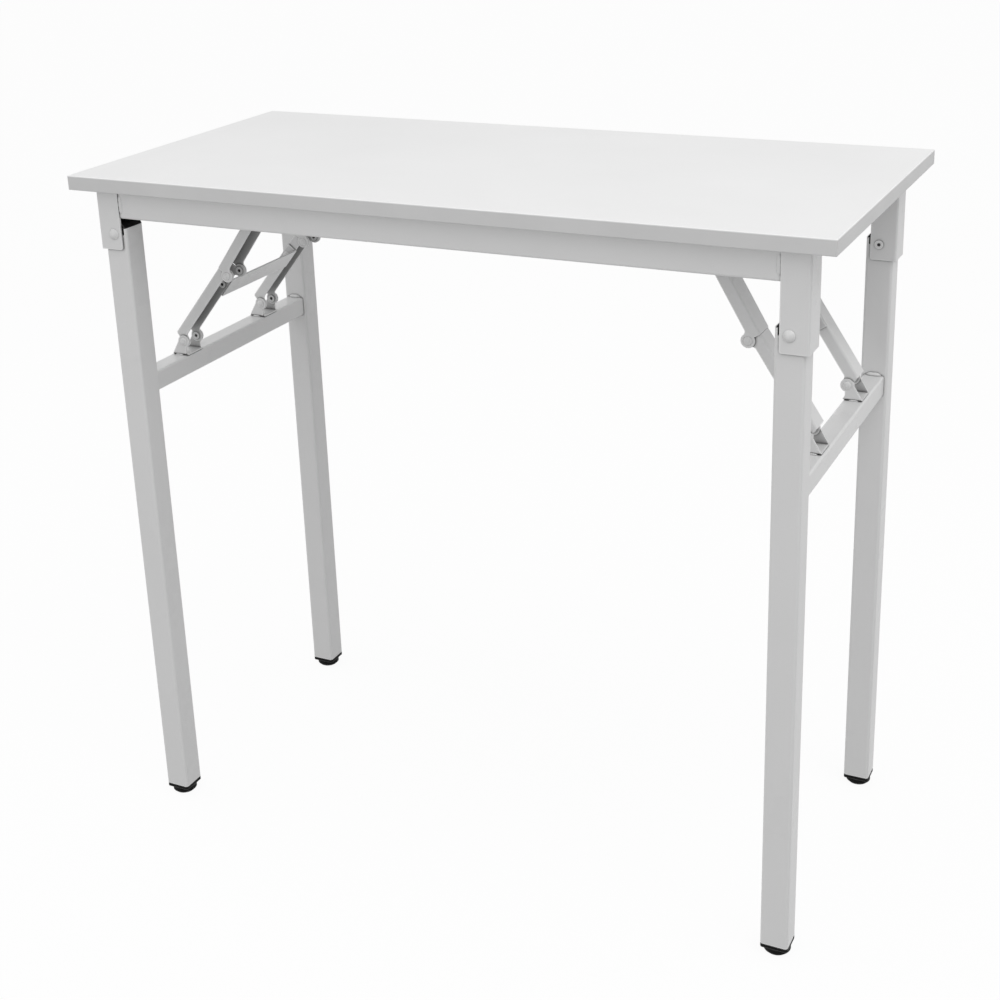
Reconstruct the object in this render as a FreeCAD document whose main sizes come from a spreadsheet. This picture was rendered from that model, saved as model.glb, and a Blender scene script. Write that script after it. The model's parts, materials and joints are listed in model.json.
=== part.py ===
import FreeCAD, Part
import math
import os
import Sketcher

# Folding desk, in millimetres. Origin on the floor under the middle of the top,
# +X to the right along the length, +Y to the back, +Z up.

SIZES = {
    # Top
    "board_length": 800.0,
    "board_depth": 380.0,
    "board_thickness": 15.0,
    "desk_height": 735.0,
    "band_thickness": 1.0,
    "band_round": 0.8,
    # Frame under the top
    "rail_width": 30.0,
    "rail_height": 30.0,
    "rail_wall": 1.5,
    "rail_round": 2.5,
    "cross_rail_width": 20.0,
    "screw_pitch": 280.0,
    "screw_radius": 2.0,
    "screw_head_radius": 4.0,
    "screw_head_height": 2.5,
    "screw_bite": 10.0,
    "screw_access_radius": 5.5,
    # Legs
    "leg_size": 28.0,
    "leg_wall": 1.5,
    "leg_round": 3.0,
    "leg_end_inset": 28.0,
    "leg_edge_inset": 15.0,
    "leg_above_pivot": 6.0,
    "leg_slot_width": 3.0,
    "leg_slot_depth": 7.0,
    "fold_gap": 2.5,
    "crossbar_size": 22.0,
    "crossbar_wall": 1.2,
    "crossbar_round": 2.5,
    "plug_depth": 24.0,
    "plug_play": 0.1,
    # Leg brackets
    "bracket_sheet": 2.0,
    "bracket_play": 0.4,
    "bracket_web_gap": 2.0,
    "bracket_reach": 9.0,
    "bracket_skirt": 16.5,
    "bracket_bend": 2.2,
    "bracket_corner": 2.5,
    "leg_rivet_radius": 3.2,
    "leg_rivet_head_radius": 5.8,
    "leg_rivet_head_height": 3.2,
    "leg_rivet_tail_radius": 4.6,
    # Feet
    "foot_lift": 12.0,
    "foot_cap_height": 4.0,
    "foot_radius": 13.5,
    "foot_chamfer": 2.5,
    "foot_screw_radius": 4.0,
    "foot_screw_length": 18.0,
    # Folding braces
    "brace_spacing": 152.0,
    "left_foot_drop": 143.0,
    "right_foot_drop": 126.0,
    "left_brace_angle": 51.0,
    "right_brace_angle": 57.0,
    "foot_pivot_inset": 7.0,
    "foot_pivot_rise": 16.0,
    "over_centre_angle": 3.0,
    "lower_link_length": 104.5,
    "upper_link_length": 83.0,
    "lower_link_width": 24.0,
    "link_sheet": 1.5,
    "link_bend": 2.5,
    "link_side_gap": 0.3,
    "link_web_offset": 14.0,
    "link_edge_offset": 2.0,
    "link_fillet": 4.0,
    "lower_web_setback": 2.0,
    "upper_web_setback": 22.0,
    "link_stop_gap": 0.3,
    "ear_radius": 7.0,
    "ear_neck": 2.0,
    "foot_bracket_depth": 19.5,
    "hanger_reach": 29.0,
    "hanger_height": 16.0,
    "cross_link_width": 26.0,
    "cross_link_setback": 29.0,
    "cross_link_tab": 11.0,
    # Brace rivets
    "rivet_radius": 3.0,
    "rivet_head_radius": 4.4,
    "rivet_head_height": 1.5,
    "rivet_tail_radius": 4.2,
    "rivet_tail_height": 1.2,
    "rivet_hollow_radius": 1.8,
    "rivet_hollow_depth": 2.4,
    "running_fit": 0.05,
    # Free run of cutting tools past the metal
    "cut_run": 1.0,
}


class Size:
    # A length as FreeCAD expression text together with its present value.
    def __init__(self, text, value):
        self.text = text
        self.value = value

    def __add__(self, other):
        return join(self, "+", other)

    def __radd__(self, other):
        return join(other, "+", self)

    def __sub__(self, other):
        return join(self, "-", other)

    def __rsub__(self, other):
        return join(other, "-", self)

    def __mul__(self, other):
        return join(self, "*", other)

    def __rmul__(self, other):
        return join(other, "*", self)

    def __truediv__(self, other):
        return join(self, "/", other)

    def __neg__(self):
        return join(0, "-", self)


def as_size(item):
    if isinstance(item, Size):
        return item
    return Size(str(item), float(item))


def join(first, sign, second):
    first = as_size(first)
    second = as_size(second)
    values = {
        "+": first.value + second.value,
        "-": first.value - second.value,
        "*": first.value * second.value,
    }
    if sign == "/":
        values["/"] = first.value / second.value
    return Size("(%s %s %s)" % (first.text, sign, second.text), values[sign])


def sine(angle):
    return Size("sin(%s)" % angle.text, math.sin(math.radians(angle.value)))


def cosine(angle):
    return Size("cos(%s)" % angle.text, math.cos(math.radians(angle.value)))


doc = FreeCAD.newDocument("folding_desk")
sheet = doc.addObject("Spreadsheet::Sheet", "Sizes")
for row, (alias, number) in enumerate(SIZES.items(), start=1):
    sheet.set("A%d" % row, alias)
    sheet.set("B%d" % row, str(number))
    sheet.setAlias("B%d" % row, alias)
doc.recompute()

size = {alias: Size("Sizes." + alias, number) for alias, number in SIZES.items()}
zero = as_size(0)

# Places worked out from the sizes
board_under = size["desk_height"] - size["board_thickness"]
leg_x = size["board_length"] / 2 - size["leg_end_inset"] - size["leg_size"] / 2
leg_y = size["board_depth"] / 2 - size["leg_edge_inset"] - size["leg_size"] / 2
left_drop = size["rail_height"] + size["leg_size"] / 2 + size["fold_gap"]
right_drop = left_drop + size["leg_size"] + size["fold_gap"]
brace_y = size["brace_spacing"] / 2
rail_end = leg_x - size["bracket_reach"]
plate_inner = size["leg_size"] / 2 + size["bracket_play"]
plate_outer = plate_inner + size["bracket_sheet"]
link_layer = size["link_side_gap"] + size["link_sheet"]
lower_half = size["lower_link_width"] / 2
upper_half = lower_half + link_layer
hanger_half = upper_half + link_layer
web_lean = size["link_web_offset"] * sine(size["over_centre_angle"])
tie_along = size["lower_link_length"] - size["cross_link_setback"]
tie_across = size["link_edge_offset"] + size["cross_link_tab"] / 2
rivet_hole = size["rivet_radius"] + size["running_fit"]
leg_rivet_hole = size["leg_rivet_radius"] + size["running_fit"]
slot_far = size["leg_size"] / 2 - size["leg_round"]
slot_near = slot_far - size["leg_slot_width"]

upright = "rotation(vector(0; 0; 1); 0)"
half_turn = "rotation(vector(0; 0; 1); 180)"
along_x = "rotation(vector(0; 1; 0); 90)"
along_y = "rotation(vector(1; 0; 0); -90)"
head_front = "rotation(vector(1; 0; 0); 90)"
head_rear = "rotation(vector(1; 0; 0); -90)"
side_down = "rotation(vector(1; 0; 0); 180)"

# Side of the desk: sign of X, turn of inward-facing pieces, turn of outward-facing pieces,
# pivot drop below the board, drop of the brace foot below the leg pivot, brace angle
SIDES = {
    "left": (-1, upright, half_turn, left_drop, size["left_foot_drop"], size["left_brace_angle"]),
    "right": (1, half_turn, upright, right_drop, size["right_foot_drop"], size["right_brace_angle"]),
}
ROWS = {"front": -1, "rear": 1}


def place(piece, x, y, z, turn=upright):
    spot = "; ".join(as_size(item).text for item in (x, y, z))
    piece.setExpression("Placement", "placement(vector(%s); %s)" % (spot, turn))
    return piece


def new_body(label):
    body = doc.addObject("PartDesign::Body", label)
    body.Label = label
    return body


def new_sketch(body, role):
    sketch = body.newObject("Sketcher::SketchObject", body.Label + "_sketch")
    plane = next(item for item in body.Origin.OriginFeatures if item.Role == role)
    sketch.AttachmentSupport = [(plane, "")]
    sketch.MapMode = "FlatFace"
    return sketch


def pin_point(sketch, shape, end, x, y):
    for kind, item in (("DistanceX", x), ("DistanceY", y)):
        item = as_size(item)
        index = sketch.addConstraint(Sketcher.Constraint(kind, -1, 1, shape, end, item.value))
        sketch.setExpression("Constraints[%d]" % index, item.text)


def polygon(body, role, points, sketch=None):
    sketch = sketch or new_sketch(body, role)
    flat = [FreeCAD.Vector(as_size(x).value, as_size(y).value, 0) for x, y in points]
    first = sketch.GeometryCount
    count = len(flat)
    for corner in range(count):
        sketch.addGeometry(Part.LineSegment(flat[corner], flat[(corner + 1) % count]), False)
    for corner in range(count):
        after = first + (corner + 1) % count
        sketch.addConstraint(Sketcher.Constraint("Coincident", first + corner, 2, after, 1))
    for corner, (x, y) in enumerate(points):
        pin_point(sketch, first + corner, 1, x, y)
    return sketch


def rectangle(body, role, x_low, x_high, y_low, y_high):
    return polygon(body, role, [(x_low, y_low), (x_high, y_low), (x_high, y_high), (x_low, y_high)])


def circles(body, role, centres, radius):
    sketch = new_sketch(body, role)
    for x, y in centres:
        middle = FreeCAD.Vector(as_size(x).value, as_size(y).value, 0)
        ring = Part.Circle(middle, FreeCAD.Vector(0, 0, 1), radius.value)
        shape = sketch.addGeometry(ring, False)
        pin_point(sketch, shape, 3, x, y)
        index = sketch.addConstraint(Sketcher.Constraint("Radius", shape, radius.value))
        sketch.setExpression("Constraints[%d]" % index, radius.text)
    return sketch


def pad(body, sketch, length, midplane=False):
    feature = body.newObject("PartDesign::Pad", body.Label + "_pad")
    feature.Profile = sketch
    feature.setExpression("Length", length.text)
    feature.Midplane = midplane
    doc.recompute()
    return feature


def pocket(body, sketch, length=None, midplane=True, reverse=False):
    before = body.Shape.Volume
    feature = body.newObject("PartDesign::Pocket", body.Label + "_pocket")
    feature.Profile = sketch
    if length is None:
        feature.Type = "ThroughAll"
    else:
        feature.setExpression("Length", length.text)
    feature.Midplane = midplane
    feature.Reversed = reverse
    doc.recompute()
    if body.Shape.Volume >= before:
        raise ValueError("a pocket of %s cuts nothing" % body.Label)
    return feature


def round_edges(body, base, wanted, radius):
    names = []
    for number, edge in enumerate(base.Shape.Edges, start=1):
        if wanted(edge):
            names.append("Edge%d" % number)
    feature = body.newObject("PartDesign::Fillet", body.Label + "_round")
    feature.Base = (base, names)
    feature.setExpression("Radius", radius.text)
    doc.recompute()
    return feature


def runs_along(edge, direction):
    line = edge.Vertexes[-1].Point - edge.Vertexes[0].Point
    return line.Length > TOLERANCE and line.cross(direction).Length < TOLERANCE


def near(first, second):
    return abs(first - second) < TOLERANCE


UP = FreeCAD.Vector(0, 0, 1)
BACK = FreeCAD.Vector(0, 1, 0)
RIGHT = FreeCAD.Vector(1, 0, 0)
TOLERANCE = 1e-6


def tube(label, width, depth, length, wall, corner, all_round=False):
    # Rectangular tube standing on its local origin, along local Z.
    body = new_body(label)
    outer = rectangle(body, "XY_Plane", -(width / 2), width / 2, -(depth / 2), depth / 2)
    base = pad(body, outer, length)
    round_edges(body, base, lambda edge: all_round or runs_along(edge, UP), corner)
    half_width = width / 2 - wall
    half_depth = depth / 2 - wall
    pocket(body, rectangle(body, "XY_Plane", -half_width, half_width, -half_depth, half_depth))
    return body


def cylinder(label, radius, height, x=zero, y=zero, z=zero, turn=upright):
    piece = doc.addObject("Part::Cylinder", label)
    piece.setExpression("Radius", radius.text)
    piece.setExpression("Height", height.text)
    return place(piece, x, y, z, turn)


def block(label, length, width, height, x, y, z):
    piece = doc.addObject("Part::Box", label)
    piece.setExpression("Length", length.text)
    piece.setExpression("Width", width.text)
    piece.setExpression("Height", height.text)
    return place(piece, x, y, z)


def fuse(label, pieces):
    joined = doc.addObject("Part::MultiFuse", label)
    joined.Shapes = pieces
    return joined


def cut(label, base, tool):
    piece = doc.addObject("Part::Cut", label)
    piece.Base = base
    piece.Tool = tool
    return piece


def group(label, pieces):
    bundle = doc.addObject("Part::Compound", label)
    bundle.Links = pieces
    return bundle


def dome(label, radius, height):
    # Spherical cap standing on its local XY plane.
    ball = (radius * radius + height * height) / (2 * height)
    piece = doc.addObject("Part::Sphere", label)
    piece.setExpression("Radius", ball.text)
    piece.setExpression("Angle1", "asin((%s - %s) / %s)" % (ball.text, height.text, ball.text))
    return place(piece, zero, zero, height - ball)


def rivet(label, grip, shank, head, head_height, tail, hollow):
    # Semi-tubular rivet: head above local Z = 0, shank down through the grip, rolled tail below it.
    tail_end = grip + size["rivet_tail_height"]
    solid = fuse(label + "_solid", [
        dome(label + "_head", head, head_height),
        cylinder(label + "_shank", shank, grip, z=-grip),
        cylinder(label + "_tail", tail, size["rivet_tail_height"], z=-tail_end),
    ])
    return cut(label, solid, cylinder(label + "_hollow", hollow, size["rivet_hollow_depth"], z=-tail_end))


def brace_rivet(label, grip):
    return rivet(
        label, grip, size["rivet_radius"], size["rivet_head_radius"], size["rivet_head_height"],
        size["rivet_tail_radius"], size["rivet_hollow_radius"],
    )


parts = []

# Top: core board with blind screw holes, and the band round its edge
screw_spots = []
for row_sign in ROWS.values():
    for column in (-1, 0, 1):
        screw_spots.append((column * size["screw_pitch"], row_sign * leg_y))

band = tube(
    "edge_band", size["board_length"], size["board_depth"], size["board_thickness"],
    size["band_thickness"], size["band_round"], all_round=True,
)
parts.append(place(band, zero, zero, board_under))

core_length = size["board_length"] - 2 * size["band_thickness"]
core_depth = size["board_depth"] - 2 * size["band_thickness"]
top = new_body("top_board")
pad(top, rectangle(
    top, "XY_Plane", -(core_length / 2), core_length / 2, -(core_depth / 2), core_depth / 2,
), size["board_thickness"])
pocket(
    top, circles(top, "XY_Plane", screw_spots, size["screw_radius"] + size["running_fit"]),
    size["screw_bite"], midplane=False, reverse=True,
)
parts.append(place(top, zero, zero, board_under))

# Rails along the front and back, with screw holes in the upper wall and driver holes in the lower
for row_name, row_sign in ROWS.items():
    rail = tube(
        row_name + "_rail", size["rail_height"], size["rail_width"], 2 * rail_end,
        size["rail_wall"], size["rail_round"],
    )
    spots = [(zero, rail_end + column * size["screw_pitch"]) for column in (-1, 0, 1)]
    pocket(rail, circles(rail, "YZ_Plane", spots, size["screw_radius"] + size["running_fit"]),
           size["rail_height"], midplane=False)
    pocket(rail, circles(rail, "YZ_Plane", spots, size["screw_access_radius"]),
           size["rail_height"], midplane=False, reverse=True)
    parts.append(place(rail, -rail_end, row_sign * leg_y, board_under - size["rail_height"] / 2, along_x))

screws = []
for number, (x, y) in enumerate(screw_spots):
    name = "frame_screw_%d" % number
    shank = size["screw_bite"] + size["rail_wall"] - size["running_fit"]
    solid = fuse(name, [
        dome(name + "_head", size["screw_head_radius"], size["screw_head_height"]),
        cylinder(name + "_shank", size["screw_radius"], shank, z=-shank),
    ])
    screws.append(place(solid, x, y, board_under - size["rail_wall"], side_down))
parts.append(group("frame_screws", screws))


def channel(body, half_width, outline, bend_line, discs, inside, neck=None):
    # Folded sheet seen from the side: the outline is padded to the full width and rounded at its
    # bends, ear discs are added, with fillets where the neck asks for them, the inside is cut away
    # and a hole goes through each disc.
    base = pad(body, polygon(body, "XZ_Plane", outline), 2 * half_width, midplane=True)
    round_edges(
        body, base,
        lambda edge: bend_line(edge) and near(abs(edge.CenterOfMass.y), half_width.value),
        size["link_bend"],
    )
    ears = pad(body, circles(body, "XZ_Plane", discs, size["ear_radius"]), 2 * half_width, midplane=True)
    if neck:
        round_edges(body, ears, neck, size["link_fillet"])
    pocket(body, polygon(body, "XZ_Plane", inside), 2 * (half_width - size["link_sheet"]))
    pocket(body, circles(body, "XZ_Plane", discs, rivet_hole))
    return body


def leg_bracket(label, drop):
    # U channel round the leg's top: web outwards (+X), plates front and back, origin at the pivot.
    body = new_body(label)
    web_inner = size["leg_size"] / 2 + size["bracket_web_gap"]
    web_outer = web_inner + size["bracket_sheet"]
    inner_edge = -size["bracket_reach"]
    bottom = -size["bracket_skirt"]
    outline = polygon(body, "XY_Plane", [
        (inner_edge, -plate_outer), (web_outer, -plate_outer),
        (web_outer, plate_outer), (inner_edge, plate_outer),
        (inner_edge, plate_inner), (web_inner, plate_inner),
        (web_inner, -plate_inner), (inner_edge, -plate_inner),
    ])
    outline.setExpression("AttachmentOffset.Base.z", bottom.text)
    base = pad(body, outline, drop + size["bracket_skirt"])
    bend = round_edges(
        body, base,
        lambda edge: runs_along(edge, UP) and near(edge.CenterOfMass.x, web_outer.value),
        size["bracket_bend"],
    )
    round_edges(
        body, bend,
        lambda edge: runs_along(edge, BACK)
        and near(edge.CenterOfMass.x, inner_edge.value)
        and near(edge.CenterOfMass.z, bottom.value),
        size["bracket_corner"],
    )
    pocket(body, circles(body, "XZ_Plane", [(zero, zero)], leg_rivet_hole))
    return body


def foot_bracket(label):
    # Saddle on the crossbar: base plate and two ears, local origin at the pivot, +X inwards.
    base_low = -size["foot_pivot_rise"]
    base_high = base_low + size["link_sheet"]
    inner = size["crossbar_size"] / 2 - size["foot_pivot_inset"]
    outer = inner - size["foot_bracket_depth"]
    ear = size["ear_radius"]
    neck = size["ear_neck"]
    past = size["cut_run"]
    return channel(
        new_body(label), upper_half,
        [
            (outer, base_low), (inner, base_low), (inner, base_high),
            (neck, base_high), (neck, zero), (-ear, zero), (outer, base_high),
        ],
        lambda edge: runs_along(edge, RIGHT) and near(edge.CenterOfMass.z, base_low.value),
        [(zero, zero)],
        [
            (outer - past, base_high), (ear + past, base_high),
            (ear + past, ear + past), (outer - past, ear + past),
        ],
    )


def link(label, length, half_width, setback):
    # Folding link: free pivot at the local origin, knee pivot at +X, web on +Z.
    butt = length - (size["link_stop_gap"] + web_lean) / 2
    edge_line = size["link_edge_offset"]
    web = size["link_web_offset"]
    web_inside = web - size["link_sheet"]
    past = size["ear_radius"] + size["cut_run"]
    return channel(
        new_body(label), half_width,
        [
            (zero, edge_line), (butt, edge_line), (butt, web), (setback, web), (zero, size["ear_radius"]),
        ],
        lambda edge: runs_along(edge, RIGHT) and near(edge.CenterOfMass.z, web.value),
        [(zero, zero), (length, zero)],
        [(-past, -past), (length + past, -past), (length + past, web_inside), (-past, web_inside)],
        lambda edge: runs_along(edge, BACK) and near(edge.CenterOfMass.z, edge_line.value),
    )


def lower_link(label, inner_cheek):
    # Link with a hole in its inner cheek, at -Y or +Y, for the cross link's rivet.
    body = link(label, size["lower_link_length"], lower_half, size["lower_web_setback"])
    hole = circles(body, "XZ_Plane", [(tie_along, tie_across)], rivet_hole)
    pocket(body, hole, size["lower_link_width"], midplane=False, reverse=inner_cheek < 0)
    return body


def hanger(label, pivot_z):
    # Ears for the brace's upper pivot, local origin at the pivot, web against the cross rail at +X.
    reach = size["hanger_reach"]
    neck = size["ear_radius"]
    low = board_under - size["rail_height"] - pivot_z
    high = low + size["hanger_height"]
    web_inside = reach - size["link_sheet"]
    past = neck + size["cut_run"]
    over = high + size["cut_run"]
    return channel(
        new_body(label), hanger_half,
        [(-neck, zero), (neck, zero), (neck, low), (reach, low), (reach, high), (-neck, high)],
        lambda edge: runs_along(edge, UP) and near(edge.CenterOfMass.x, reach.value),
        [(zero, zero)],
        [(-past, -past), (web_inside, -past), (web_inside, over), (-past, over)],
    )


def top_plug(label):
    # Plastic plug in the leg's upper end, rounded about the pivot so that the leg can turn.
    play = size["plug_play"]
    stem = size["leg_size"] - 2 * size["leg_wall"] - 2 * play
    cap = size["leg_size"]
    radius = size["leg_size"] / 2
    barrel = cylinder(label + "_barrel", radius, cap, y=-(cap / 2), turn=along_y)
    above = block(label + "_above", cap, cap, radius, -radius, -radius, size["leg_above_pivot"])
    crown = doc.addObject("Part::Common", label + "_crown")
    crown.Base = barrel
    crown.Tool = above
    stem_low = size["leg_above_pivot"] - size["plug_depth"]
    shank = block(label + "_stem", stem, stem, size["plug_depth"], -(stem / 2), -(stem / 2), stem_low)
    hole = cylinder(label + "_hole", leg_rivet_hole, cap, y=-(cap / 2), turn=along_y)
    return cut(label, fuse(label + "_solid", [crown, shank]), hole)


def foot_plug(label):
    # Plastic plug in the leg's lower end, local origin at the tube's end, with the levelling screw's hole.
    play = size["plug_play"]
    stem = size["leg_size"] - 2 * size["leg_wall"] - 2 * play
    cap = size["leg_size"]
    body = new_body(label)
    cap_sketch = rectangle(body, "XY_Plane", -(cap / 2), cap / 2, -(cap / 2), cap / 2)
    cap_sketch.setExpression("AttachmentOffset.Base.z", (-size["foot_cap_height"]).text)
    base = pad(body, cap_sketch, size["foot_cap_height"])
    round_edges(body, base, lambda edge: runs_along(edge, UP), size["leg_round"])
    pad(body, rectangle(body, "XY_Plane", -(stem / 2), stem / 2, -(stem / 2), stem / 2), size["plug_depth"])
    pocket(body, circles(body, "XY_Plane", [(zero, zero)], size["foot_screw_radius"] + size["running_fit"]))
    return body


def levelling_foot(label):
    # Round foot with its screw, local origin on the floor.
    body = new_body(label)
    height = size["foot_lift"] - size["foot_cap_height"]
    base = pad(body, circles(body, "XY_Plane", [(zero, zero)], size["foot_radius"]), height)
    names = []
    for number, edge in enumerate(base.Shape.Edges, start=1):
        if edge.Closed and near(edge.CenterOfMass.z, 0):
            names.append("Edge%d" % number)
    slope = body.newObject("PartDesign::Chamfer", label + "_slope")
    slope.Base = (base, names)
    slope.setExpression("Size", size["foot_chamfer"].text)
    doc.recompute()
    stem = circles(body, "XY_Plane", [(zero, zero)], size["foot_screw_radius"])
    pad(body, stem, height + size["foot_screw_length"])
    return body


def cross_link(label):
    # Strip joining a pair of lower links, bent up into a tab at each end; local X along the links.
    body = new_body(label)
    half = brace_y - lower_half
    sheet = size["link_sheet"]
    low = size["link_edge_offset"] - sheet
    high = size["link_edge_offset"] + size["cross_link_tab"]
    strip = polygon(body, "YZ_Plane", [
        (-half, low), (half, low), (half, high), (half - sheet, high),
        (half - sheet, low + sheet), (sheet - half, low + sheet), (sheet - half, high), (-half, high),
    ])
    pad(body, strip, size["cross_link_width"], midplane=True)
    pocket(body, circles(body, "XZ_Plane", [(zero, tie_across)], rivet_hole))
    return body


def turned(turn, pitch):
    return "%s * rotation(vector(0; 1; 0); -1 * %s)" % (turn, pitch.text)


for side, (sign, inward, outward, drop, foot_drop, angle) in SIDES.items():
    pivot_z = board_under - drop
    foot_z = pivot_z - foot_drop
    knee_in = size["foot_pivot_inset"] + size["lower_link_length"] * cosine(angle)
    knee_z = foot_z + size["lower_link_length"] * sine(angle)
    upper_angle = angle + size["over_centre_angle"]
    upper_in = knee_in + size["upper_link_length"] * cosine(upper_angle)
    upper_z = knee_z + size["upper_link_length"] * sine(upper_angle)
    foot_x = sign * (leg_x - size["foot_pivot_inset"])
    knee_x = sign * (leg_x - knee_in)
    upper_x = sign * (leg_x - upper_in)
    leg_length = pivot_z + size["leg_above_pivot"] - size["foot_lift"]

    # Cross rail that carries the upper ends of the braces
    rail_x = sign * (leg_x - upper_in - size["hanger_reach"] - size["cross_rail_width"] / 2)
    rail_span = leg_y - size["rail_width"] / 2
    cross_rail = tube(
        side + "_cross_rail", size["cross_rail_width"], size["rail_height"], 2 * rail_span,
        size["rail_wall"], size["rail_round"],
    )
    parts.append(place(cross_rail, rail_x, -rail_span, board_under - size["rail_height"] / 2, along_y))

    # Crossbar between the two legs
    bar_span = leg_y - size["leg_size"] / 2
    bar_z = foot_z - size["foot_pivot_rise"] - size["crossbar_size"] / 2
    crossbar = tube(
        side + "_crossbar", size["crossbar_size"], size["crossbar_size"], 2 * bar_span,
        size["crossbar_wall"], size["crossbar_round"],
    )
    parts.append(place(crossbar, sign * leg_x, -bar_span, bar_z, along_y))

    leg_rivets = []
    foot_rivets = []
    knee_rivets = []
    hanger_rivets = []
    upper_pins = []
    tie_rivets = []
    for row_name, row_sign in ROWS.items():
        corner = row_name + "_" + side
        head = head_front if row_sign < 0 else head_rear
        y = row_sign * leg_y
        parts.append(place(leg_bracket(corner + "_bracket", drop), sign * leg_x, y, pivot_z, outward))

        leg = tube(
            corner + "_leg", size["leg_size"], size["leg_size"], leg_length,
            size["leg_wall"], size["leg_round"],
        )
        pocket(leg, circles(leg, "XZ_Plane", [(zero, leg_length - size["leg_above_pivot"])], leg_rivet_hole))
        slot = (slot_near, slot_far) if sign < 0 else (-slot_far, -slot_near)
        pocket(leg, rectangle(
            leg, "XZ_Plane", *slot, leg_length - size["leg_slot_depth"], leg_length + size["cut_run"],
        ))
        parts.append(place(leg, sign * leg_x, y, size["foot_lift"]))
        parts.append(place(top_plug(corner + "_top_plug"), sign * leg_x, y, pivot_z))
        parts.append(place(foot_plug(corner + "_foot_plug"), sign * leg_x, y, size["foot_lift"]))
        parts.append(place(levelling_foot(corner + "_foot"), sign * leg_x, y, zero))
        leg_rivets.append(place(rivet(
            corner + "_leg_rivet", 2 * plate_outer, size["leg_rivet_radius"], size["leg_rivet_head_radius"],
            size["leg_rivet_head_height"], size["leg_rivet_tail_radius"], size["rivet_hollow_radius"],
        ), sign * leg_x, y + row_sign * plate_outer, pivot_z, head))

        brace = side + "_" + row_name
        y = row_sign * brace_y
        parts.append(place(foot_bracket(brace + "_brace_foot"), foot_x, y, foot_z, inward))
        lower = lower_link(brace + "_lower_link", sign * row_sign)
        parts.append(place(lower, foot_x, y, foot_z, turned(inward, angle)))
        upper = link(
            brace + "_upper_link", size["upper_link_length"], upper_half, size["upper_web_setback"],
        )
        parts.append(place(
            upper, upper_x, y, upper_z, turned(inward, upper_angle) + " * " + half_turn,
        ))
        parts.append(place(hanger(brace + "_hanger", upper_z), upper_x, y, upper_z, inward))

        for cheek, turn in ((-1, head_front), (1, head_rear)):
            tag = "%s_%s" % (brace, "outer" if cheek == row_sign else "inner")
            two_sheets = 2 * size["link_sheet"] + size["link_side_gap"]
            face = y + cheek * upper_half
            foot_rivet = brace_rivet(tag + "_foot_rivet", two_sheets)
            foot_rivets.append(place(foot_rivet, foot_x, face, foot_z, turn))
            knee_rivet = brace_rivet(tag + "_knee_rivet", two_sheets)
            knee_rivets.append(place(knee_rivet, knee_x, face, knee_z, turn))

            # The upper pivot is parted between hanger and link: a head in the hanger, a stub in the link
            head_name = tag + "_hanger_rivet"
            sheet_depth = size["link_sheet"]
            head_solid = fuse(head_name, [
                dome(head_name + "_head", size["rivet_head_radius"], size["rivet_head_height"]),
                cylinder(head_name + "_shank", size["rivet_radius"], sheet_depth, z=-sheet_depth),
            ])
            hanger_rivets.append(place(head_solid, upper_x, y + cheek * hanger_half, upper_z, turn))
            pin_name = tag + "_upper_pin"
            stub = cylinder(pin_name + "_shank", size["rivet_radius"], sheet_depth, z=-sheet_depth)
            hollow = cylinder(
                pin_name + "_hollow", size["rivet_hollow_radius"], sheet_depth / 2, z=-sheet_depth,
            )
            upper_pins.append(place(cut(pin_name, stub, hollow), upper_x, face, upper_z, turn))

        # Rivet that holds the cross link's tab to the inner cheek of the lower link
        tie_x = foot_x - sign * (tie_along * cosine(angle) - tie_across * sine(angle))
        tie_z = foot_z + tie_along * sine(angle) + tie_across * cosine(angle)
        tie_face = row_sign * (brace_y - lower_half - size["link_sheet"])
        tie_turn = head_rear if row_sign < 0 else head_front
        tie_rivets.append(place(
            brace_rivet(brace + "_tie_rivet", 2 * size["link_sheet"]), tie_x, tie_face, tie_z, tie_turn,
        ))

    tie_in = foot_x - sign * tie_along * cosine(angle)
    tie_up = foot_z + tie_along * sine(angle)
    parts.append(place(cross_link(side + "_cross_link"), tie_in, zero, tie_up, turned(inward, angle)))
    parts.append(group(side + "_leg_rivets", leg_rivets))
    parts.append(group(side + "_foot_rivets", foot_rivets))
    parts.append(group(side + "_knee_rivets", knee_rivets))
    parts.append(group(side + "_hanger_rivets", hanger_rivets))
    parts.append(group(side + "_upper_pins", upper_pins))
    parts.append(group(side + "_tie_rivets", tie_rivets))

doc.recompute()

for item in doc.Objects:
    if "Invalid" in item.State or "Error" in item.State:
        raise ValueError("%s failed: %s" % (item.Label, item.State))
for piece in parts:
    if piece.Shape.isNull() or not piece.Shape.isValid():
        raise ValueError("%s has no valid shape" % piece.Label)

os.makedirs("parts", exist_ok=True)
for piece in parts:
    piece.Shape.exportStep("parts/%s.step" % piece.Label)
print("%d parts written" % len(parts))
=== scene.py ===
import json
import math

import bmesh
import bpy
from mathutils import Matrix, Vector


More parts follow.
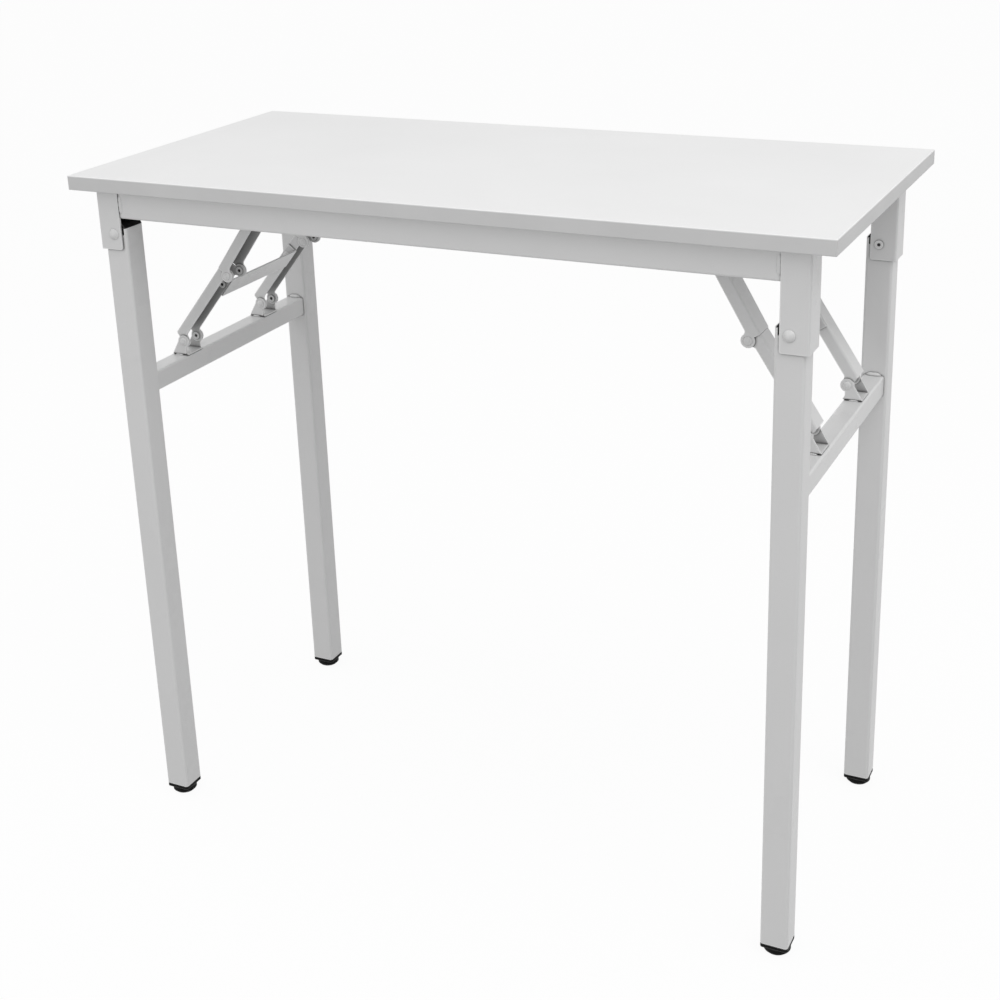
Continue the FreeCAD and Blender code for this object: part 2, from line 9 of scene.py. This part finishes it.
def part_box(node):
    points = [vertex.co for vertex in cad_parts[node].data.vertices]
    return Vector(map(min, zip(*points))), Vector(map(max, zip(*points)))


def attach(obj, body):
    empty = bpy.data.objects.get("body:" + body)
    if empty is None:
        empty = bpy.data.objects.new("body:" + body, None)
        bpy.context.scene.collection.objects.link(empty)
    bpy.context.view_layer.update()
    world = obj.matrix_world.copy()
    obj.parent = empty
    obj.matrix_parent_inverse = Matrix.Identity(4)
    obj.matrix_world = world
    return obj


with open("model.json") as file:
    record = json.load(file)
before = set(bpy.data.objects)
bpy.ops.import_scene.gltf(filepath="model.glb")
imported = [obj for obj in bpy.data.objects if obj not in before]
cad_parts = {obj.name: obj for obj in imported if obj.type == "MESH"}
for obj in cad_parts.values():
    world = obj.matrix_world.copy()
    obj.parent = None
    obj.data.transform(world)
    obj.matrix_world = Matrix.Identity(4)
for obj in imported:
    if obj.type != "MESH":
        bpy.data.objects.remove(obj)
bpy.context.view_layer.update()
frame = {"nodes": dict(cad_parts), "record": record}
nodes = frame["nodes"]
sides = ("left", "right")
rows = {"front": -1, "rear": 1}
mm = 0.001
print("frame loaded:", len(nodes), "nodes")


class Wire:
    # A shader socket that takes part in plain arithmetic
    def __init__(self, finish, socket):
        self.finish = finish
        self.socket = socket

    def math(self, operation, first, second):
        return self.finish.node("ShaderNodeMath", {"operation": operation}, {0: first, 1: second})

    def __add__(self, other):
        return self.math("ADD", self, other)

    __radd__ = __add__

    def __sub__(self, other):
        return self.math("SUBTRACT", self, other)

    def __rsub__(self, other):
        return self.math("SUBTRACT", other, self)

    def __mul__(self, other):
        return self.math("MULTIPLY", self, other)

    __rmul__ = __mul__


# How the nodes look for edges and sheltered places
nodeLook = {"edgeSamples": 6, "shelterSamples": 8, "edgeGain": 16, "edgeSpan": (0.1, 1.0)}


class Finish:
    # The nodes of one material or world: node() adds any node and wires it up
    def __init__(self, owner):
        owner.use_nodes = True
        self.owner = owner
        self.tree = owner.node_tree
        self.tree.nodes.clear()

    def node(self, kind, settings=None, inputs=None, output=0):
        made = self.tree.nodes.new(kind)
        for key, value in (settings or {}).items():
            if key == "stops":
                self.setStops(made.color_ramp, value)
            else:
                setattr(made, key, value)
        for key, value in (inputs or {}).items():
            if isinstance(value, Wire):
                self.tree.links.new(value.socket, made.inputs[key])
            else:
                made.inputs[key].default_value = value
        return Wire(self, made.outputs[output]) if made.outputs else None

    def setStops(self, ramp, stops):
        while len(ramp.elements) < len(stops):
            ramp.elements.new(1.0)
        for element, (place, grey) in zip(ramp.elements, stops):
            element.position = place
            element.color = (grey, grey, grey, 1.0)

    def where(self):
        return self.node("ShaderNodeTexCoord", output="Object")

    def noise(self, scale, detail, roughness=0.5):
        inputs = {"Vector": self.where(), "Scale": scale, "Detail": detail, "Roughness": roughness}
        return self.node("ShaderNodeTexNoise", {}, inputs)

    def ramp(self, value, span):
        # 0 below the span, 1 above it
        low, high = span
        return self.node("ShaderNodeValToRGB", {"stops": [(low, 0.0), (high, 1.0)]}, {"Fac": value})

    def mixColour(self, factor, first, second):
        inputs = {"Factor": factor, 6: first, 7: second}
        return self.node("ShaderNodeMix", {"data_type": "RGBA"}, inputs, output=2)

    def softEdges(self, radius):
        return self.node("ShaderNodeBevel", {"samples": nodeLook["edgeSamples"]}, {"Radius": radius})

    def edgeMask(self, reach):
        # Rises towards the edges, where the softened normal leaves the true one
        true = self.node("ShaderNodeNewGeometry", output="Normal")
        inputs = {0: self.softEdges(reach), 1: true}
        level = self.node("ShaderNodeVectorMath", {"operation": "DOT_PRODUCT"}, inputs, output="Value")
        return self.ramp((1 - level) * nodeLook["edgeGain"], nodeLook["edgeSpan"])

    def shelter(self, reach, alone):
        # 1 in the open, towards 0 in the piece's own hollows or, unless alone, beside a neighbour
        settings = {"samples": nodeLook["shelterSamples"], "only_local": alone}
        return self.node("ShaderNodeAmbientOcclusion", settings, {"Distance": reach}, output="AO")

    def bump(self, height, strength, distance, normal=None):
        inputs = {"Height": height, "Strength": strength, "Distance": distance}
        if normal is not None:
            inputs["Normal"] = normal
        return self.node("ShaderNodeBump", {}, inputs)

    def close(self, inputs):
        shader = self.node("ShaderNodeBsdfPrincipled", {}, inputs)
        self.node("ShaderNodeOutputMaterial", {}, {"Surface": shader})
        return self.owner


def grey(level, warmth=0.0):
    return (level * (1 + warmth), level, level * (1 - warmth), 1.0)


powderCoat = {
    "colour": 0.82, "shade": 0.8, "patchScale": 9.0, "patchSpan": (0.35, 0.7),
    "gloss": 0.24, "dull": 0.32, "speckDull": 0.04, "refraction": 1.48,
    "peelScale": 520.0, "peelDepth": 0.05 * mm, "peelStrength": 0.35, "speckFiner": 4, "speckHeight": 0.25,
    # The edge colour is a painted highlight along the edges
    "edgeRadius": 0.7 * mm, "edgeReach": 2.4 * mm, "edgeHighlightColour": 0.97, "edgeHighlightShare": 0.9,
    # The hollow colour is painted shade in the hollows of each sheet piece
    "hollowReach": 30 * mm, "hollowSpan": (0.25, 0.85), "hollowShadeColour": 0.1, "hollowShadeShare": 0.9,
    # The seam colour is painted shade along the contact lines between pieces
    "seamReach": 3 * mm, "seamSpan": (0.42, 0.92), "seamShadeColour": 0.06, "seamShadeShare": 0.9,
}


def powderCoatFinish(name, values):
    finish = Finish(bpy.data.materials.new(name))
    soft = finish.softEdges(values["edgeRadius"])
    edge = finish.edgeMask(values["edgeReach"])
    patches = finish.ramp(finish.noise(values["patchScale"], detail=3.0), values["patchSpan"])
    body = finish.mixColour(patches, grey(values["shade"]), grey(values["colour"]))
    # Painted highlights along the edges, then painted shade in the hollows of the sheet pieces, then
    # painted shade along the seams between pieces
    hollowShade = 1 - finish.ramp(finish.shelter(values["hollowReach"], alone=True), values["hollowSpan"])
    seamShade = 1 - finish.ramp(finish.shelter(values["seamReach"], alone=False), values["seamSpan"])
    highlightedEdges = finish.mixColour(edge * values["edgeHighlightShare"], body, grey(values["edgeHighlightColour"]))
    shaded = finish.mixColour(hollowShade * values["hollowShadeShare"], highlightedEdges, grey(values["hollowShadeColour"]))
    colour = finish.mixColour(seamShade * values["seamShadeShare"], shaded, grey(values["seamShadeColour"]))
    peel = finish.noise(values["peelScale"], detail=2.0)
    specks = finish.noise(values["peelScale"] * values["speckFiner"], detail=1.0)
    rough = values["gloss"] + patches * (values["dull"] - values["gloss"]) + specks * values["speckDull"]
    height = peel + specks * values["speckHeight"]
    return finish.close({
        "Base Color": colour, "Roughness": rough, "IOR": values["refraction"],
        "Normal": finish.bump(height, values["peelStrength"], values["peelDepth"], soft),
    })


laminate = {
    "colour": 0.86, "shade": 0.83, "cloudScale": 5.0, "cloudSpan": (0.3, 0.75),
    "gloss": 0.42, "dull": 0.52, "smudgeScale": 14.0, "smudgeSpan": (0.4, 0.8), "specular": 0.25,
    "grainScale": 1500.0, "grainDepth": 0.03 * mm, "grainStrength": 0.25, "grainDull": 0.05,
}


def laminateFinish(name, values):
    finish = Finish(bpy.data.materials.new(name))
    cloud = finish.ramp(finish.noise(values["cloudScale"], detail=4.0), values["cloudSpan"])
    colour = finish.mixColour(cloud, grey(values["shade"]), grey(values["colour"]))
    grain = finish.noise(values["grainScale"], detail=3.0, roughness=0.6)
    marks = finish.noise(values["smudgeScale"], detail=5.0, roughness=0.6)
    smudges = finish.ramp(marks, values["smudgeSpan"])
    rough = values["gloss"] + smudges * (values["dull"] - values["gloss"]) + grain * values["grainDull"]
    return finish.close({
        "Base Color": colour, "Roughness": rough, "Specular IOR Level": values["specular"],
        "Normal": finish.bump(grain, values["grainStrength"], values["grainDepth"]),
    })


edgeTape = {
    "colour": 0.71, "shade": 0.68, "cloudScale": 18.0, "cloudSpan": (0.35, 0.7),
    # The arris colour is a painted highlight along the top arris
    "arrisHighlightColour": 0.97, "arrisDepth": 1.6 * mm, "arrisSpan": (0.4, 1.0), "edgeRadius": 0.6 * mm,
    "gloss": 0.34, "dull": 0.46, "refraction": 1.48,
    "grainScale": 900.0, "grainDepth": 0.04 * mm, "grainStrength": 0.3,
}


def edgeTapeFinish(name, values):
    finish = Finish(bpy.data.materials.new(name))
    soft = finish.softEdges(values["edgeRadius"])
    # The tape is painted bright along its top arris, a painted highlight
    height = finish.node("ShaderNodeSeparateXYZ", {}, {0: finish.where()}, output="Z")
    depth = (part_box("edge_band")[1].z - height) * (1 / values["arrisDepth"])
    arrisHighlight = 1 - finish.ramp(depth, values["arrisSpan"])
    cloud = finish.ramp(finish.noise(values["cloudScale"], detail=3.0), values["cloudSpan"])
    body = finish.mixColour(cloud, grey(values["shade"]), grey(values["colour"]))
    colour = finish.mixColour(arrisHighlight, body, grey(values["arrisHighlightColour"]))
    grain = finish.noise(values["grainScale"], detail=2.0)
    rough = values["gloss"] + cloud * (values["dull"] - values["gloss"])
    return finish.close({
        "Base Color": colour, "Roughness": rough, "IOR": values["refraction"],
        "Normal": finish.bump(grain, values["grainStrength"], values["grainDepth"], soft),
    })


blackPlastic = {
    "colour": 0.003, "dust": 0.012, "dustWarmth": 0.03, "dustShare": 0.35,
    "scuffScale": 60.0, "scuffSpan": (0.5, 0.85), "gloss": 0.55, "dull": 0.7, "specular": 0.1,
    # The edge colour is a painted highlight, grey along the edges
    "edgeRadius": 0.6 * mm, "edgeReach": 2 * mm, "edgeHighlightColour": 0.1, "edgeHighlightShare": 0.8,
    "grainScale": 1300.0, "grainDepth": 0.08 * mm, "grainStrength": 0.4, "grainDull": 0.05,
}


def blackPlasticFinish(name, values):
    finish = Finish(bpy.data.materials.new(name))
    soft = finish.softEdges(values["edgeRadius"])
    edge = finish.edgeMask(values["edgeReach"])
    marks = finish.noise(values["scuffScale"], detail=5.0, roughness=0.65)
    scuffs = finish.ramp(marks, values["scuffSpan"])
    dust = grey(values["dust"], values["dustWarmth"])
    body = finish.mixColour(scuffs * values["dustShare"], grey(values["colour"]), dust)
    # Painted highlight: the colour is lightened towards the edges
    colour = finish.mixColour(edge * values["edgeHighlightShare"], body, grey(values["edgeHighlightColour"]))
    grain = finish.noise(values["grainScale"], detail=2.0)
    rough = values["gloss"] + scuffs * (values["dull"] - values["gloss"]) + grain * values["grainDull"]
    return finish.close({
        "Base Color": colour, "Roughness": rough, "Specular IOR Level": values["specular"],
        "Normal": finish.bump(grain, values["grainStrength"], values["grainDepth"], soft),
    })


zincPlate = {
    "colour": 0.62, "shade": 0.5, "warmth": -0.01, "spangleScale": 420.0, "gloss": 0.25, "dull": 0.42,
}


def zincPlateFinish(name, values):
    finish = Finish(bpy.data.materials.new(name))
    spangle = finish.noise(values["spangleScale"], detail=2.0)
    dark, light = (grey(values[key], values["warmth"]) for key in ("shade", "colour"))
    rough = values["gloss"] + spangle * (values["dull"] - values["gloss"])
    return finish.close({
        "Base Color": finish.mixColour(spangle, dark, light), "Roughness": rough, "Metallic": 1.0,
    })


finishes = {
    "white_paint": powderCoatFinish("white_powder_coat", powderCoat),
    "laminate": laminateFinish("white_laminate", laminate),
    "edge_tape": edgeTapeFinish("white_edge_tape", edgeTape),
    "black_plastic": blackPlasticFinish("black_plastic", blackPlastic),
    "plated_steel": zincPlateFinish("zinc_plate", zincPlate),
}

for entry in frame["record"]["subparts"]:
    target = nodes[entry["node"]].data
    target.materials.clear()
    target.materials.append(finishes[entry["material_slot"]])
print("finishes on", len(nodes), "nodes")


weld = {
    "bead": 1.5 * mm, "band": 4.0 * mm, "bandSunk": 2.6 * mm, "hump": 3.6 * mm,
    "inset": 3 * mm, "saddleInset": 6 * mm, "hangerInset": 1.5 * mm,
    "step": 0.75, "fewestSteps": 4, "ripple": 0.1, "tip": 0.25, "tipCurve": 4, "sidesRound": 12,
}


def addBead(mesh, start, end, radius, values):
    # A rippled bead of weld from start to end, closed at both ends
    start = Vector(start)
    line = Vector(end) - start
    steps = max(values["fewestSteps"], round(line.length / (radius * values["step"])))
    turn = Vector((0, 0, 1)).rotation_difference(line).to_matrix().to_4x4()

    def size(step):
        taper = math.sqrt(max(0.0, 1 - abs(2 * step / steps - 1) ** values["tipCurve"]))
        return radius * max(values["tip"], taper) * (1 - values["ripple"] * (step % 2))

    def fit(verts, centre, factor):
        bmesh.ops.scale(mesh, vec=(factor,) * 3, space=Matrix.Translation(-centre), verts=verts)

    ring = bmesh.ops.create_circle(
        mesh, cap_ends=True, segments=values["sidesRound"], radius=size(0),
        matrix=Matrix.Translation(start) @ turn,
    )["verts"]
    edges = list({edge for vert in ring for edge in vert.link_edges})
    for step in range(1, steps + 1):
        grown = bmesh.ops.extrude_edge_only(mesh, edges=edges)["geom"]
        ring = [item for item in grown if isinstance(item, bmesh.types.BMVert)]
        edges = [item for item in grown if isinstance(item, bmesh.types.BMEdge)]
        bmesh.ops.translate(mesh, vec=line / steps, verts=ring)
        fit(ring, start + line * step / steps, size(step) / size(step - 1))
    bmesh.ops.contextual_create(mesh, geom=edges)


def makePiece(name, mesh, body, finish):
    sameSpot = 0.001 * mm
    bmesh.ops.remove_doubles(mesh, verts=mesh.verts, dist=sameSpot)
    bmesh.ops.recalc_face_normals(mesh, faces=mesh.faces)
    data = bpy.data.meshes.new(name)
    mesh.to_mesh(data)
    mesh.free()
    for face in data.polygons:
        face.use_smooth = True
    data.materials.append(finish)
    piece = bpy.data.objects.new(name, data)
    bpy.context.scene.collection.objects.link(piece)
    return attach(piece, body)


def beadPiece(name, body, lines):
    mesh = bmesh.new()
    for start, end, radius in lines:
        addBead(mesh, start, end, radius, weld)
    return makePiece(name, mesh, body, finishes["white_paint"])


def crossbarWelds(side):
    # A fat bead on top of each crossbar end, in the corner with the leg, and a small one underneath
    low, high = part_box(side + "_crossbar")
    inset = weld["inset"]
    lines = []
    for y in (low.y, high.y):
        for z, radius in ((low.z, weld["bead"]), (high.z, weld["hump"])):
            lines.append(((low.x + inset, y, z), (high.x - inset, y, z), radius))
    return beadPiece(side + "_crossbar_welds", side + "_legs", lines)


def saddleWelds(side):
    # A short bead at each end of the saddles, on top of the crossbar
    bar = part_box(side + "_crossbar")
    inset = weld["saddleInset"]
    lines = []
    for row in rows:
        low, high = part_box("%s_%s_brace_foot" % (side, row))
        for y in (low.y, high.y):
            lines.append(((bar[0].x + inset, y, low.z), (bar[1].x - inset, y, low.z), weld["bead"]))
    return beadPiece(side + "_saddle_welds", side + "_legs", lines)


def railWelds(row):
    # Each rail's end against its leg bracket, a sunk band down the face and a bead underneath
    low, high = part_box(row + "_rail")
    face = low.y + weld["bandSunk"] if rows[row] < 0 else high.y - weld["bandSunk"]
    inset = weld["inset"]
    lines = []
    for x, bandX in ((low.x, low.x + inset / 2), (high.x, high.x - inset / 2)):
        lines.append(((bandX, face, low.z + inset), (bandX, face, high.z - inset), weld["band"]))
        lines.append(((x, low.y + inset, low.z), (x, high.y - inset, low.z), weld["bead"]))
    return beadPiece(row + "_rail_welds", "top", lines)


def crossRailWelds(side):
    # Each end of a cross rail against the front or rear rail, underneath and up both sides
    low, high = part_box(side + "_cross_rail")
    inset = weld["inset"]
    lines = []
    for y in (low.y, high.y):
        lines.append(((low.x + inset, y, low.z), (high.x - inset, y, low.z), weld["bead"]))
        for x in (low.x, high.x):
            lines.append(((x, y, low.z + inset), (x, y, high.z - inset), weld["bead"]))
    return beadPiece(side + "_cross_rail_welds", "top", lines)


def hangerWelds(side):
    # Up both cheeks of each hanger, on the outer face of its cross rail
    inset = weld["hangerInset"]
    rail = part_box(side + "_cross_rail")
    x = rail[0].x if side == "left" else rail[1].x
    lines = []
    for row in rows:
        low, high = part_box("%s_%s_hanger" % (side, row))
        for y in (low.y, high.y):
            lines.append(((x, y, rail[0].z + inset), (x, y, high.z - inset), weld["bead"]))
    return beadPiece(side + "_hanger_welds", "top", lines)


for side in sides:
    crossbarWelds(side)
    saddleWelds(side)
    crossRailWelds(side)
    hangerWelds(side)
for row in rows:
    railWelds(row)
print("welds laid")


studio = {
    "floorSize": 30.0, "floorGrey": 0.48, "floorGlow": 0.94, "worldGrey": 0.6,
    "lamps": {
        "overhead": {"place": (0.9, -1.0, 2.3), "aim": (0.1, 0, 0.7), "size": 1.6, "power": 8.0},
        "front": {"place": (-0.9, -3.2, 1.0), "aim": (0, 0, 0.5), "size": 3.2, "power": 14.0},
        "leftHigh": {"place": (-1.3, -0.2, 2.6), "aim": (-0.3, 0, 0.6), "size": 1.0, "power": 6.0},
        "rightHigh": {"place": (1.3, -0.2, 2.6), "aim": (0.3, 0, 0.6), "size": 1.0, "power": 8.0},
    },
}


def seenDirectly(finish):
    # 1 for rays from the camera and for what glossy and clear surfaces show
    kinds = ("Camera", "Glossy", "Transmission")
    camera, glossy, through = (
        finish.node("ShaderNodeLightPath", output="Is %s Ray" % kind) for kind in kinds
    )
    settings = {"operation": "ADD", "use_clamp": True}
    return finish.node("ShaderNodeMath", settings, {0: camera + glossy, 1: through})


def makeFloor(values):
    finish = Finish(bpy.data.materials.new("pale_floor"))
    seen = seenDirectly(finish)
    paint = finish.mixColour(seen, grey(values["floorGrey"]), grey(1.0))
    matt = finish.node("ShaderNodeBsdfDiffuse", {}, {"Color": paint})
    glow = finish.node("ShaderNodeEmission", {}, {"Color": grey(1.0), "Strength": 1.0})
    mixed = finish.node("ShaderNodeMixShader", {}, {0: seen * values["floorGlow"], 1: matt, 2: glow})
    finish.node("ShaderNodeOutputMaterial", {}, {"Surface": mixed})
    mesh = bmesh.new()
    bmesh.ops.create_grid(mesh, x_segments=1, y_segments=1, size=values["floorSize"] / 2)
    data = bpy.data.meshes.new("floor")
    mesh.to_mesh(data)
    mesh.free()
    data.materials.append(finish.owner)
    floor = bpy.data.objects.new("floor", data)
    bpy.context.scene.collection.objects.link(floor)


def makeWorld(values):
    world = bpy.data.worlds.new("studio")
    bpy.context.scene.world = world
    finish = Finish(world)
    level = values["worldGrey"] + seenDirectly(finish) * (1.0 - values["worldGrey"])
    sky = finish.node("ShaderNodeBackground", {}, {"Color": grey(1.0), "Strength": level})
    finish.node("ShaderNodeOutputWorld", {}, {"Surface": sky})


def makeLamp(name, values):
    data = bpy.data.lights.new(name, "AREA")
    data.shape = "SQUARE"
    data.size = values["size"]
    data.energy = values["power"]
    lamp = bpy.data.objects.new(name, data)
    lamp.location = values["place"]
    aim = Vector(values["aim"]) - Vector(values["place"])
    lamp.rotation_euler = aim.to_track_quat("-Z", "Y").to_euler()
    bpy.context.scene.collection.objects.link(lamp)


makeFloor(studio)
makeWorld(studio)
for lampName, lampValues in studio["lamps"].items():
    makeLamp(lampName, lampValues)
print("studio lit")


photoCamera = {
    "place": (0.726, -1.4763, 1.0824), "turnDegrees": (70.838, 1.832, 25.766),
    "lens": 58.89, "sensor": 36.0, "shift": (0.0, -0.13),
}


def makeCamera(values):
    data = bpy.data.cameras.new("photo_camera")
    data.lens = values["lens"]
    data.sensor_width = values["sensor"]
    data.shift_x, data.shift_y = values["shift"]
    camera = bpy.data.objects.new("photo_camera", data)
    camera.location = values["place"]
    camera.rotation_euler = [math.radians(angle) for angle in values["turnDegrees"]]
    bpy.context.scene.collection.objects.link(camera)
    bpy.context.scene.camera = camera


makeCamera(photoCamera)
bpy.context.scene.view_settings.view_transform = "Standard"
print("camera set")
